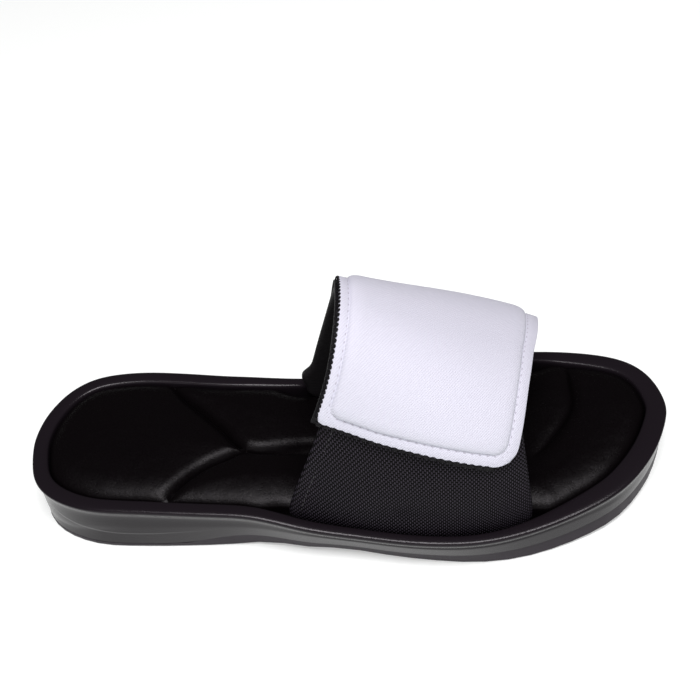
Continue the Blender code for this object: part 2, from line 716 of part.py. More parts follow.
def add_flap(arch, finish):
    cover = Cover(arch, FLAP_CORNER)
    edges = (0.0, FLAP_MARGIN_THICKNESS / 2, FLAP_MARGIN, FLAP_MARGIN + FLAP_SLOPE)
    ends = graded(cover.length, edges, FLAP_ROWS)
    sides = graded(cover.width, edges, FLAP_COLUMNS)
    points, normals = cover.surfaces(ends, sides)
    end_distance = np.minimum(ends, 1.0 - ends)[:, None] * cover.length
    rear_distance = sides[None, :] * cover.width
    front_distance = (1.0 - sides)[None, :] * cover.width
    from_edge = np.minimum(end_distance, np.minimum(rear_distance, front_distance))
    body = smooth_step(np.minimum(end_distance, front_distance), FLAP_MARGIN, FLAP_MARGIN + FLAP_SLOPE)
    body = np.minimum(body, smooth_step(rear_distance, FLAP_REAR_MARGIN, FLAP_REAR_MARGIN + FLAP_REAR_SLOPE))
    border = FLAP_MARGIN_THICKNESS * (0.5 + 0.5 * rounded(from_edge, FLAP_MARGIN_THICKNESS / 2))
    thickness = border + (FLAP_THICKNESS - FLAP_MARGIN_THICKNESS) * body
    low = BAND_THICKNESS / 2 + HOOK_THICKNESS + 2 * SHEET_GAP
    outer = points + normals * (low + thickness)[:, :, None]
    return add_sheet("cover_flap", outer, points + normals * low, finish)


def build():
    clear_scene()
    finishes = {name: material(name) for name in COLOURS}
    plan = Plan(STATIONS)
    arch = Arch(plan)
    add_outsole(plan, finishes["rubber"])
    add_midsole(plan, finishes["foam"])
    add_footbed(Plan(BED_STATIONS), finishes["bed"])
    add_band(arch, finishes["weave"])
    add_hook_sheet(arch, finishes["hook"])
    add_flap(arch, finishes["cover"])


build()
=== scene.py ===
# Sport slide sandal, right foot: the finish of every surface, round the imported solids.
# Metres, with +X to the toe, +Y to the medial side and +Z up. The sole stands on z = 0.

import math

import bmesh
import bpy
import numpy as np
from mathutils import Matrix, Vector, geometry, noise


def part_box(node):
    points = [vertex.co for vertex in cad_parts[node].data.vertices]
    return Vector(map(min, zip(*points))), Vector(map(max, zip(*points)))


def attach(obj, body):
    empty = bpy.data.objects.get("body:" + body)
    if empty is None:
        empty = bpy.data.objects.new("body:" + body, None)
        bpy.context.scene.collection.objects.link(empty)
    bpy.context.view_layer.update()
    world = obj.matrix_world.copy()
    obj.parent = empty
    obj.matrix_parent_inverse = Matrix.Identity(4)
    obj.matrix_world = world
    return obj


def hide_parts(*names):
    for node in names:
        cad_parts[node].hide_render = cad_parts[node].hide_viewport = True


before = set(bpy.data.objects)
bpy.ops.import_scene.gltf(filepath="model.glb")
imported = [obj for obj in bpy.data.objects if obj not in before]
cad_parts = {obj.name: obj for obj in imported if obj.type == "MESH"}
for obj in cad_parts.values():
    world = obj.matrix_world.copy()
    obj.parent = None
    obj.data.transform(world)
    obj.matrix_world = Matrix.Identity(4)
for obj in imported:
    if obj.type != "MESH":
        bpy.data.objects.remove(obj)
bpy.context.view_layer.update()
mm = 0.001

# What most pieces are worked out from. Heights are above the floor, shares run from the heel.
sole = {
    "length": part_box("midsole")[1].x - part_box("midsole")[0].x,
    "ballWidth": 103.6 * mm,
    "heelHeight": 26.3 * mm,  # of the ridge round the heel
    "ballHeight": 19.2 * mm,
    "toeLift": 6.0 * mm,
    "heelToBall": (0.33, 0.52),
    "toeRamp": (0.72, 1.00),
    "bedDepth": 9.0 * mm,  # ridge down to the recess floor
    "bedLow": 2.6 * mm,  # ridge down to the footbed's edge
    "slotGap": 0.6 * mm,
}


def hexToLinear(hexColour):
    values = [int(hexColour[start:start + 2], 16) / 255 for start in (1, 3, 5)]
    linear = [v / 12.92 if v <= 0.04045 else ((v + 0.055) / 1.055) ** 2.4 for v in values]
    return (*linear, 1.0)


def addNode(tree, kind, links=None, **settings):
    node = tree.nodes.new(kind)
    for name, value in settings.items():
        setattr(node, name, value)
    for socket, source in (links or {}).items():
        if isinstance(source, bpy.types.NodeSocket):
            tree.links.new(source, node.inputs[socket])
        else:
            node.inputs[socket].default_value = source
    return node


def newMaterial(name, colour, roughness, **sockets):
    made = bpy.data.materials.new(name)
    made.use_nodes = True
    shader = made.node_tree.nodes["Principled BSDF"]
    shader.inputs["Base Color"].default_value = hexToLinear(colour)
    shader.inputs["Roughness"].default_value = roughness
    for socket, value in sockets.items():
        shader.inputs[socket.replace("_", " ")].default_value = value
    return made, made.node_tree, shader


def smoothStep(value, start, end):
    share = np.clip((np.asarray(value, float) - start) / (end - start), 0.0, 1.0)
    return share * share * (3.0 - 2.0 * share)


def rounded(distance, radius):
    # From 0 at an edge to 1 at this radius in from it, as a quarter circle.
    share = np.clip(np.asarray(distance) / radius, 0.0, 1.0)
    return np.sqrt(1.0 - (1.0 - share) ** 2)


def ridgeHeight(x):
    along = np.asarray(x, float) / sole["length"] + 0.5
    fall = smoothStep(along, *sole["heelToBall"])
    height = sole["heelHeight"] + (sole["ballHeight"] - sole["heelHeight"]) * fall
    return height + sole["toeLift"] * smoothStep(along, *sole["toeRamp"])


def deselectAll():
    if bpy.context.mode != "OBJECT":
        bpy.ops.object.mode_set(mode="OBJECT")
    bpy.ops.object.select_all(action="DESELECT")


def activate(piece):
    deselectAll()
    piece.select_set(True)
    bpy.context.view_layer.objects.active = piece


def newPiece(name, points, faces, *finishes):
    mesh = bpy.data.meshes.new(name)
    mesh.from_pydata([tuple(point) for point in points], [], faces)
    for finish in finishes:
        mesh.materials.append(finish)
    piece = bpy.data.objects.new(name, mesh)
    bpy.context.scene.collection.objects.link(piece)
    return piece


def recalculateNormals(piece):
    activate(piece)
    bpy.ops.object.mode_set(mode="EDIT")
    bpy.ops.mesh.select_all(action="SELECT")
    bpy.ops.mesh.normals_make_consistent(inside=False)
    bpy.ops.object.mode_set(mode="OBJECT")


def finishPiece(piece, slot, *nodes, sharp=40):
    activate(piece)
    bpy.ops.object.shade_smooth_by_angle(angle=math.radians(sharp))
    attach(piece, "root")
    if nodes:
        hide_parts(*nodes)
    print(f"{piece.name}: {len(piece.data.polygons)} faces")


print("camera and studio")

view = {  # the photograph's view, fitted to the outline of the pair
    "place": (10.7 * mm, -290.4 * mm, 386.6 * mm),
    "right": (0.9963, -0.0507, -0.0688),
    "up": (0.0842, 0.7206, 0.6882),
    "look": (-0.0147, 0.6915, -0.7222),
    "lens": 55.6,
}

cameraData = bpy.data.cameras.new("camera")
cameraData.lens = view["lens"]
cameraData.clip_start = 0.01
camera = bpy.data.objects.new("camera", cameraData)
bpy.context.scene.collection.objects.link(camera)
axes = Matrix((view["right"], view["up"], [-value for value in view["look"]])).transposed()
camera.matrix_world = Matrix.Translation(view["place"]) @ axes.to_4x4()
bpy.context.scene.camera = camera

studio = {
    "floorSize": 1.7,
    "floorColour": "#dfe5e0",  # evens out the tint of the lights
    "floorGlow": 0.36,  # a light table, so that the floor stays even to its far end
    "worldColour": "#ffffff",
    "worldStrength": 0.06,  # as light; the backdrop itself is seen at full white
    "lightColour": "#fff9fe",
    # place, aim, width, height, watts
    "softboxes": {
        "front": ((-0.20, -1.55, 0.72), (0.0, 0.0, 0.05), 2.20, 1.20, 9.5),
        "top": ((0.05, -0.36, 1.50), (0.0, 0.10, 0.0), 0.95, 0.48, 26.0),
    },
}

deselectAll()
bpy.ops.mesh.primitive_plane_add(size=studio["floorSize"], location=(0, 0, 0))
floor = bpy.context.active_object
floor.name = "floor"
floorFinish = newMaterial("light_table", studio["floorColour"], 0.9, Specular_IOR_Level=0.0,
                          Emission_Strength=studio["floorGlow"])[0]
floor.data.materials.append(floorFinish)

world = bpy.data.worlds.new("studio")
world.use_nodes = True
background = world.node_tree.nodes["Background"]
background.inputs["Color"].default_value = hexToLinear(studio["worldColour"])
seen = addNode(world.node_tree, "ShaderNodeLightPath").outputs["Is Camera Ray"]
strength = addNode(world.node_tree, "ShaderNodeMapRange", {0: seen, 3: studio["worldStrength"], 4: 1.0})
world.node_tree.links.new(strength.outputs[0], background.inputs["Strength"])
bpy.context.scene.world = world

bpy.context.scene.view_settings.view_transform = "Standard"

for name, (place, aim, width, height, watts) in studio["softboxes"].items():
    light = bpy.data.lights.new(name, "AREA")
    light.shape = "RECTANGLE"
    light.size, light.size_y, light.energy = width, height, watts
    light.color = hexToLinear(studio["lightColour"])[:3]
    box = bpy.data.objects.new(name, light)
    box.location = place
    box.rotation_euler = (Vector(aim) - Vector(place)).to_track_quat("-Z", "Y").to_euler()
    bpy.context.scene.collection.objects.link(box)


print("materials")


def fineBump(tree, shader, height, depth, distance=1.0):
    bump = addNode(tree, "ShaderNodeBump", {"Height": height, "Strength": depth, "Distance": distance})
    tree.links.new(bump.outputs["Normal"], shader.inputs["Normal"])


heelLine = {
    # its points: share of the way from the heel to the sole's middle, share of the heel's height
    "points": ((0.0, 0.72), (0.06, 0.60), (0.17, 0.43), (0.32, 0.38), (0.48, 0.46), (0.62, 0.60)),
    "halfWidth": 0.5 * mm,
    "fade": (0.62, 0.30),  # gone at the first share, full at the second
    "relief": 2.5,  # against the grain's
}


def makeFoamSkin():
    # Compression-moulded EVA: a closed skin with a faint spark-eroded grain,
    # so it is satin and never mirror-like.
    grain = 0.55 * mm
    made, tree, shader = newMaterial("moulded_eva", "#191519", 0.20, IOR=1.49, Specular_IOR_Level=0.19)
    place = addNode(tree, "ShaderNodeTexCoord").outputs["Object"]
    fine = addNode(tree, "ShaderNodeTexNoise", {"Vector": place, "Scale": 1 / grain, "Detail": 3.0})
    broad = addNode(tree, "ShaderNodeTexNoise", {"Vector": place, "Scale": 28.0, "Detail": 2.0})
    gloss = addNode(tree, "ShaderNodeMapRange", {0: broad.outputs["Fac"], 3: 0.16, 4: 0.25})
    tree.links.new(gloss.outputs[0], shader.inputs["Roughness"])
    # the line moulded round the heel: its height over the floor is a curve along the sole
    multiply = {"operation": "MULTIPLY"}
    smooth = {"interpolation_type": "SMOOTHSTEP"}
    axes = addNode(tree, "ShaderNodeSeparateXYZ", {0: place})
    along = addNode(tree, "ShaderNodeMapRange", {0: axes.outputs["X"], 1: -sole["length"] / 2, 2: 0.0})
    curve = addNode(tree, "ShaderNodeFloatCurve", {"Value": along.outputs[0]})
    points = curve.mapping.curves[0].points
    points[0].location, points[1].location = heelLine["points"][0], heelLine["points"][-1]
    for share, height in heelLine["points"][1:-1]:
        points.new(share, height)
    curve.mapping.update()
    line = addNode(tree, "ShaderNodeMath", {0: curve.outputs[0], 1: sole["heelHeight"]}, **multiply)
    gap = addNode(tree, "ShaderNodeMath", {0: axes.outputs["Z"], 1: line.outputs[0]}, operation="SUBTRACT")
    half = heelLine["halfWidth"]
    step = addNode(tree, "ShaderNodeMapRange", {0: gap.outputs[0], 1: -half, 2: half}, **smooth)
    gone, full = heelLine["fade"]
    fade = addNode(tree, "ShaderNodeMapRange", {0: along.outputs[0], 1: gone, 2: full}, **smooth)
    crease = addNode(tree, "ShaderNodeMath", {0: step.outputs[0], 1: fade.outputs[0]}, **multiply)
    relief = {0: crease.outputs[0], 1: heelLine["relief"], 2: fine.outputs["Fac"]}
    both = addNode(tree, "ShaderNodeMath", relief, operation="MULTIPLY_ADD")
    fineBump(tree, shader, both.outputs[0], 0.35, 0.14 * mm)
    return made


def makeRubber():
    # Moulded rubber with a matt skin. Its base is painted greyer and lighter than the foam above it, a
    # painted reflection of the white floor along the sole's bottom edge.
    grain = 0.8 * mm
    made, tree, shader = newMaterial("moulded_rubber", "#2a252b", 0.40, IOR=1.52, Specular_IOR_Level=0.14)
    place = addNode(tree, "ShaderNodeTexCoord").outputs["Object"]
    fine = addNode(tree, "ShaderNodeTexNoise", {"Vector": place, "Scale": 1 / grain, "Detail": 4.0})
    gloss = addNode(tree, "ShaderNodeMapRange", {0: fine.outputs["Fac"], 3: 0.40, 4: 0.55})
    tree.links.new(gloss.outputs[0], shader.inputs["Roughness"])
    fineBump(tree, shader, fine.outputs["Fac"], 0.14, 0.25 * mm)
    return made


def makeSatinKnit():
    # Brushed tricot knitted from bright filament: black face on, with a soft sheen
    # where it turns to the light.
    loop = 0.9 * mm
    made, tree, shader = newMaterial("satin_tricot", "#070506", 0.34, IOR=1.5, Specular_IOR_Level=0.095)
    place = addNode(tree, "ShaderNodeTexCoord").outputs["Object"]
    pile = addNode(tree, "ShaderNodeTexNoise", {"Vector": place, "Scale": 1 / loop, "Detail": 5.0,
                                                "Roughness": 0.75})
    gloss = addNode(tree, "ShaderNodeMapRange", {0: pile.outputs["Fac"], 1: 0.3, 2: 0.7, 3: 0.22, 4: 0.40})
    tree.links.new(gloss.outputs[0], shader.inputs["Roughness"])
    fineBump(tree, shader, pile.outputs["Fac"], 0.5, 0.25 * mm)
    return made


def wovenHeight(tree, uv, pitchU, pitchV):
    # Plain weave: each yarn is a half-round ridge that rises and dips over its neighbours.
    axes = []
    for axis, pitch in (("X", pitchU), ("Y", pitchV)):
        scaled = addNode(tree, "ShaderNodeMath", {0: uv.outputs[axis], 1: 1 / pitch}, operation="MULTIPLY")
        axes.append(scaled.outputs[0])
    heights = []
    for across, along, phase in ((*axes, 0.0), (*axes[::-1], math.pi)):
        cell = addNode(tree, "ShaderNodeMath", {0: across}, operation="FLOOR").outputs[0]
        inside = addNode(tree, "ShaderNodeMath", {0: across}, operation="FRACT").outputs[0]
        arc = addNode(tree, "ShaderNodeMath", {0: inside, 1: math.pi}, operation="MULTIPLY").outputs[0]
        yarn = addNode(tree, "ShaderNodeMath", {0: arc}, operation="SINE").outputs[0]
        travel = addNode(tree, "ShaderNodeMath", {0: along, 1: cell}, operation="ADD").outputs[0]
        turn = addNode(tree, "ShaderNodeMath", {0: travel, 1: math.pi, 2: phase}, operation="MULTIPLY_ADD")
        wave = addNode(tree, "ShaderNodeMath", {0: turn.outputs[0]}, operation="SINE").outputs[0]
        height = addNode(tree, "ShaderNodeMath", {0: wave, 1: 0.5, 2: yarn}, operation="MULTIPLY_ADD")
        heights.append(height.outputs[0])
    top = addNode(tree, "ShaderNodeMath", {0: heights[0], 1: heights[1]}, operation="MAXIMUM").outputs[0]
    warp = addNode(tree, "ShaderNodeMath", {0: heights[1], 1: heights[0]}, operation="SUBTRACT").outputs[0]
    return top, warp


def makeBallisticNylon():
    # Plain-woven ballistic nylon, thick yarns: the bumps give each float its own small highlight, and the
    # colour is painted from the weave's height as painted shade in the hollows and a painted highlight on
    # the crests.
    pitchAround, pitchAlong = 1.00 * mm, 0.83 * mm
    made, tree, shader = newMaterial("ballistic_nylon", "#100e11", 0.45, IOR=1.53, Specular_IOR_Level=0.05)
    uv = addNode(tree, "ShaderNodeUVMap", uv_map="threads").outputs[0]
    cross = addNode(tree, "ShaderNodeSeparateXYZ", {0: uv})
    height, warp = wovenHeight(tree, cross, pitchAround, pitchAlong)
    # painted shade and highlight: near-black where the yarns dip, lighter on each float's crest
    paintedWeaveShading = addNode(tree, "ShaderNodeValToRGB", {0: warp})
    hollowShade, crestHighlight = paintedWeaveShading.color_ramp.elements
    hollowShade.position, hollowShade.color = 0.40, hexToLinear("#020102")
    crestHighlight.position, crestHighlight.color = 1.0, hexToLinear("#39353d")
    tree.links.new(paintedWeaveShading.outputs["Color"], shader.inputs["Base Color"])
    fineBump(tree, shader, height, 0.8, 0.18 * mm)
    return made


def makeLining():
    # Warp-knit lining: thin, black and dull.
    wale = 0.9 * mm
    made, tree, shader = newMaterial("tricot_lining", "#121012", 0.7, IOR=1.5, Specular_IOR_Level=0.3)
    uv = addNode(tree, "ShaderNodeUVMap", uv_map="threads").outputs[0]
    ribs = addNode(tree, "ShaderNodeTexWave", {"Vector": uv, "Scale": 1 / wale / 6.28, "Distortion": 0.6})
    fineBump(tree, shader, ribs.outputs["Fac"], 0.3, 0.2 * mm)
    return made


def makeHookTape():
    # Hook tape: a mat of nylon monofilament, matt black and rough all over.
    tuft = 0.8 * mm
    made, tree, shader = newMaterial("nylon_hook_tape", "#0b0a0d", 0.6, IOR=1.53, Specular_IOR_Level=0.16)
    place = addNode(tree, "ShaderNodeTexCoord").outputs["Object"]
    tufts = addNode(tree, "ShaderNodeTexVoronoi", {"Vector": place, "Scale": 1 / tuft})
    fineBump(tree, shader, tufts.outputs["Distance"], 0.9, 0.4 * mm)
    return made


def makeCoverTwill():
    # Polyester twill over foam, bleached with an optical brightener: cool near-white
    # with faint diagonal ribs.
    thread = 0.55 * mm
    rib = 1.15 * mm  # drawn coarser than the cloth's own thread, so that the ribs still show
    made, tree, shader = newMaterial("bleached_polyester_twill", "#d2d4de", 0.68, IOR=1.5,
                                     Specular_IOR_Level=0.25)
    uv = addNode(tree, "ShaderNodeUVMap", uv_map="threads").outputs[0]
    turned = addNode(tree, "ShaderNodeMapping", {"Vector": uv, "Rotation": (0, 0, math.radians(45))})
    ribs = addNode(tree, "ShaderNodeTexWave", {"Vector": turned.outputs[0], "Distortion": 0.4,
                                               "Scale": 1 / rib / 6.2832 * math.pi})
    cross = addNode(tree, "ShaderNodeSeparateXYZ", {0: uv})
    weave = wovenHeight(tree, cross, thread, thread)[0]
    ribbed = {0: weave, 1: 0.35, 2: ribs.outputs["Fac"]}
    both = addNode(tree, "ShaderNodeMath", ribbed, operation="MULTIPLY_ADD").outputs[0]
    fineBump(tree, shader, both, 0.55, 0.18 * mm)
    # painted shade and highlight: the colour darkens a touch in the hollows of the ribs and weave and
    # lightens on their crests
    ribShadeMask = addNode(tree, "ShaderNodeMapRange", {0: both, 2: 1.8})
    paintedWeaveShading = addNode(tree, "ShaderNodeValToRGB", {0: ribShadeMask.outputs[0]})
    paintedWeaveShading.color_ramp.elements[0].color = hexToLinear("#cdcfda")
    paintedWeaveShading.color_ramp.elements[1].color = hexToLinear("#d8dae3")
    tree.links.new(paintedWeaveShading.outputs["Color"], shader.inputs["Base Color"])
    return made


def makeThread(name, colour):
    # Bonded polyester sewing thread, lightly waxed.
    return newMaterial(name, colour, 0.45, IOR=1.57, Specular_IOR_Level=0.5)[0]


foamSkin = makeFoamSkin()
rubber = makeRubber()
satinKnit = makeSatinKnit()
ballisticNylon = makeBallisticNylon()
lining = makeLining()
hookTape = makeHookTape()
coverTwill = makeCoverTwill()
greyThread = makeThread("grey_bonded_thread", "#b0aeb8")
blackThread = makeThread("black_bonded_thread", "#201d21")


print("sole")

soleFinish = {
    "merge": 0.01 * mm,
    "flatten": 40,  # degrees between triangles that make one quad
    # degrees past which an edge stays crisp, and how crisp: on the ridge, and below it
    "ridgeCrease": (62, 0.0),
    "lowCrease": (35, 1.0),
    "ridgeDepth": 4.5 * mm,
    "crown": 0.55,  # how much of the rim's height over its ridge is kept, for one broad shoulder
    "levels": 2,
}


def roundedCopy(node, name, finish, kind="CATMULL_CLARK"):
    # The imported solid's facets are made quads, then rounded between its crisp edges.
    piece = bpy.data.objects.new(name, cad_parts[node].data.copy())
    bpy.context.scene.collection.objects.link(piece)
    piece.data.materials.clear()
    piece.data.materials.append(finish)
    activate(piece)
    bpy.ops.object.mode_set(mode="EDIT")
    bpy.ops.mesh.select_mode(type="EDGE")
    bpy.ops.mesh.select_all(action="SELECT")
    bpy.ops.mesh.remove_doubles(threshold=soleFinish["merge"])
    limit = math.radians(soleFinish["flatten"])
    bpy.ops.mesh.tris_convert_to_quads(face_threshold=limit, shape_threshold=limit)
    bpy.ops.mesh.customdata_custom_splitnormals_clear()
    bpy.ops.object.mode_set(mode="OBJECT")
    shape = bmesh.new()
    shape.from_mesh(piece.data)
    creases = shape.edges.layers.float.new("crease_edge")
    for edge in shape.edges:
        middle = (edge.verts[0].co + edge.verts[1].co) / 2
        low = middle.z < ridgeHeight(middle.x) - soleFinish["ridgeDepth"]
        limit, crisp = soleFinish["lowCrease" if low else "ridgeCrease"]
        if edge.calc_face_angle(0.0) > math.radians(limit):
            edge[creases] = crisp
    for vertex in shape.verts:
        over = vertex.co.z - float(ridgeHeight(vertex.co.x))
        if over > 0:
            vertex.co.z -= over * (1.0 - soleFinish["crown"])
    shape.to_mesh(piece.data)
    shape.free()
    rounding = piece.modifiers.new("rounding", "SUBSURF")
    rounding.subdivision_type = kind
    rounding.levels = rounding.render_levels = soleFinish["levels"]
    bpy.ops.object.modifier_apply(modifier=rounding.name)
    return piece


midsole = roundedCopy("midsole", "midsole_foam", foamSkin)
finishPiece(midsole, "midsole_foam", "midsole")
outsole = roundedCopy("outsole", "outsole_rubber", rubber, kind="SIMPLE")
finishPiece(outsole, "outsole_rubber", "outsole", sharp=30)


print("footbed")

bed = {
    "spacing": 1.1 * mm,  # between the points of its mesh
    "rings": (0.0, 0.35, 0.8, 1.4, 2.2, 3.2, 4.4),  # mm in from the edge and from each channel
    "channelRings": 4,  # how many of them go along a channel
    "rise": 4.6 * mm,
    "crown": 0.9 * mm,  # how much more the middle of a pad stands up
    # width of the rolled edge, by share of the length: on the lateral side, on the medial side
    "edgeFall": (
        (0.0, 9.0, 7.0),
        (0.08, 11.5, 7.0),
        (0.20, 11.5, 7.0),
        (0.28, 14.0, 8.0),
        (0.45, 14.0, 8.0),
        (0.60, 9.0, 8.0),
        (0.80, 11.0, 8.0),
        (1.0, 9.0, 8.0),
    ),
    "sideBlend": 12 * mm,  # to each side of the middle, where one side's width turns into the other's
    "crownReach": 22 * mm,
    "channelCut": 0.96,
    "channelReach": 5.4 * mm,
    "channelRound": 0.7,  # share of a channel's depth that is a quarter circle
    "channelTail": 0.6,  # how far out the rest falls off, by the channel's reach
    "pucker": 0.12 * mm,
    "puckerScales": ((160, 1.0, 0.0), (420, 0.6, 3.0)),  # per metre, strength, place in the noise
    "ringKeep": 0.9,  # share of a ring's distance that its points keep from the edge, or are dropped
    "edgeClear": 0.5 * mm,
    "lineClear": 0.4 * mm,
    "closest": 0.28 * mm,  # of two points nearer than about this, one is dropped
    "lift": 0.3 * mm,  # underside over the recess floor
}
# Channels between the pads, each a run of points: along (share of the sole's length),
# across (share of the ball's width), half width of its flat bottom in mm, share of the full depth.
bedChannels = {
    "heelLateral": (
        (0.205, -0.36, 0.5, 0.9),
        (0.223, -0.20, 0.3, 1.0),
        (0.269, -0.08, 0.3, 1.0),
        (0.315, -0.02, 0.3, 1.0),
        (0.338, 0.01, 0.1, 1.0),
    ),
    "heelMedial": (
        (0.205, 0.47, 0.3, 0.7),
        (0.228, 0.35, 0.4, 0.9),
        (0.262, 0.25, 0.6, 1.0),
        (0.300, 0.135, 0.5, 1.0),
        (0.320, 0.06, 0.2, 1.0),
        (0.338, 0.01, 0.1, 1.0),
    ),
    "middle": (
        (0.338, 0.01, 0.1, 1.0),
        (0.360, -0.003, 0.2, 1.0),
        (0.400, 0.004, 0.7, 1.0),
        (0.440, 0.016, 1.4, 1.0),
        (0.520, 0.015, 2.4, 0.9),
        (0.600, 0.03, 0.5, 0.6),
    ),
    "ball": (
        (0.560, -0.50, 0.3, 0.4),
        (0.595, -0.25, 0.3, 0.6),
        (0.610, 0.03, 0.4, 0.6),
        (0.600, 0.25, 0.3, 0.6),
        (0.575, 0.47, 0.3, 0.4),
    ),
    "toe": (
        (0.775, -0.12, 0.1, 0.0),
        (0.802, -0.061, 0.2, 0.4),
        (0.837, 0.041, 0.2, 0.65),
        (0.858, 0.14, 0.2, 0.65),
        (0.863, 0.27, 0.2, 0.65),
        (0.864, 0.37, 0.2, 0.5),
    ),
}


def smoothRun(rows, step, closed=False):
    # Points this far apart on a smooth curve through the rows.
    rows = np.array(rows, float)
    if closed:
        padded = np.vstack([rows[-1:], rows, rows[:2]])
    else:
        padded = np.vstack([2 * rows[0] - rows[1], rows, 2 * rows[-1] - rows[-2]])
    made = []
    for before, start, end, after in zip(padded, padded[1:], padded[2:], padded[3:]):
        count = max(2, int(np.hypot(*(end - start)[:2]) / step))
        t = np.arange(count)[:, None] / count
        linear, square = end - before, 2 * before - 5 * start + 4 * end - after
        cube = 3 * start - before - 3 * end + after
        made.append(0.5 * (2 * start + linear * t + square * t**2 + cube * t**3))
    return np.vstack(made if closed else made + [rows[-1:]])


def bedOutline():
    # Once round the footbed's edge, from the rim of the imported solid's underside.
    shape = bmesh.new()
    shape.from_mesh(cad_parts["footbed"].data)
    bmesh.ops.remove_doubles(shape, verts=shape.verts, dist=soleFinish["merge"])
    shape.edges.index_update()
    under = {face for face in shape.faces if face.normal.z < -0.9}
    rim = {edge for edge in shape.edges if len(under & set(edge.link_faces)) == 1}
    edge = min(rim, key=lambda rimEdge: rimEdge.index)
    first, corner = edge.verts
    rim.discard(edge)
    loop = [tuple(first.co)]
    while corner != first:
        loop.append(tuple(corner.co))
        edge = next(e for e in corner.link_edges if e in rim)
        rim.discard(edge)
        corner = edge.other_vert(corner)
    shape.free()
    loop = np.array(loop)[:, :2]
    ahead = np.roll(loop, -1, axis=0)
    area = np.sum(loop[:, 0] * ahead[:, 1] - ahead[:, 0] * loop[:, 1])
    return loop if area > 0 else loop[::-1]


def distanceTo(points, runs):
    # Distance from each point to the nearest run of (x, y, half width, depth), less the
    # half width, and the depth there.
    nearest, depth = np.full(len(points), 1.0), np.zeros(len(points))
    for run in runs:
        for start, end in zip(run[:-1], run[1:]):
            leg = end[:2] - start[:2]
            share = np.clip(((points - start[:2]) @ leg) / max(leg @ leg, 1e-12), 0.0, 1.0)
            gap = np.hypot(*(points - start[:2] - share[:, None] * leg).T)
            gap = np.maximum(gap - start[2] - share * (end[2] - start[2]), 0.0)
            closer = gap < nearest
            nearest = np.where(closer, gap, nearest)
            depth = np.where(closer, start[3] + share * (end[3] - start[3]), depth)
    return nearest, depth


def channelRuns():
    runs = []
    for rows in bedChannels.values():
        scaled = [((a - 0.5) * sole["length"], c * sole["ballWidth"], w * mm, d) for a, c, w, d in rows]
        runs.append(smoothRun(scaled, 2.0 * mm))
    return runs


def asRun(loop):
    return np.column_stack([np.vstack([loop, loop[:1]]), np.zeros((len(loop) + 1, 2))])


def bedHeight(points, edgeLoop, runs):
    fromEdge = distanceTo(points, [asRun(edgeLoop)])[0]
    along = points[:, 0] / sole["length"] + 0.5
    falls = np.array(bed["edgeFall"])
    lateral = 1.0 - smoothStep(points[:, 1], -bed["sideBlend"], bed["sideBlend"])
    fall = np.interp(along, falls[:, 0], falls[:, 1]) * lateral
    fall += np.interp(along, falls[:, 0], falls[:, 2]) * (1 - lateral)
    roll = rounded(fromEdge, fall * mm)
    channel, fromChannel = np.ones(len(points)), np.full(len(points), 1.0)
    for run in runs:
        gap, depth = distanceTo(points, [run])
        reach, share = bed["channelReach"], bed["channelRound"]
        tail = np.exp(-gap / (bed["channelTail"] * reach))
        valley = (1.0 - rounded(gap, reach)) * share + (1 - share) * tail
        channel = np.minimum(channel, 1.0 - bed["channelCut"] * np.clip(depth, 0, 1) * valley)
        fromChannel = np.minimum(fromChannel, gap)
    crown = bed["crown"] * smoothStep(np.minimum(fromEdge, fromChannel), 0.0, bed["crownReach"])
    pucker = np.zeros(len(points))
    for scale, strength, layer in bed["puckerScales"]:
        pucker += [strength * noise.noise(Vector((x * scale, y * scale, layer))) for x, y in points]
    soft = bed["pucker"] * pucker * roll
    return ridgeHeight(points[:, 0]) - sole["bedLow"] + (bed["rise"] + crown) * roll * channel + soft


def insetLoop(loop, distance):
    ahead, behind = np.roll(loop, -1, axis=0), np.roll(loop, 1, axis=0)
    tangent = (ahead - behind) / np.linalg.norm(ahead - behind, axis=1)[:, None]
    return loop + np.column_stack([-tangent[:, 1], tangent[:, 0]]) * distance


def insideLoop(points, loop):
    x, y = points[:, 0], points[:, 1]
    odd = np.zeros(len(points), bool)
    for (x0, y0), (x1, y1) in zip(loop, np.roll(loop, -1, axis=0)):
        crosses = (y0 > y) != (y1 > y)
        with np.errstate(divide="ignore", invalid="ignore"):
            at = (x1 - x0) * (y - y0) / (y1 - y0) + x0
        odd ^= crosses & (x < at)
    return odd


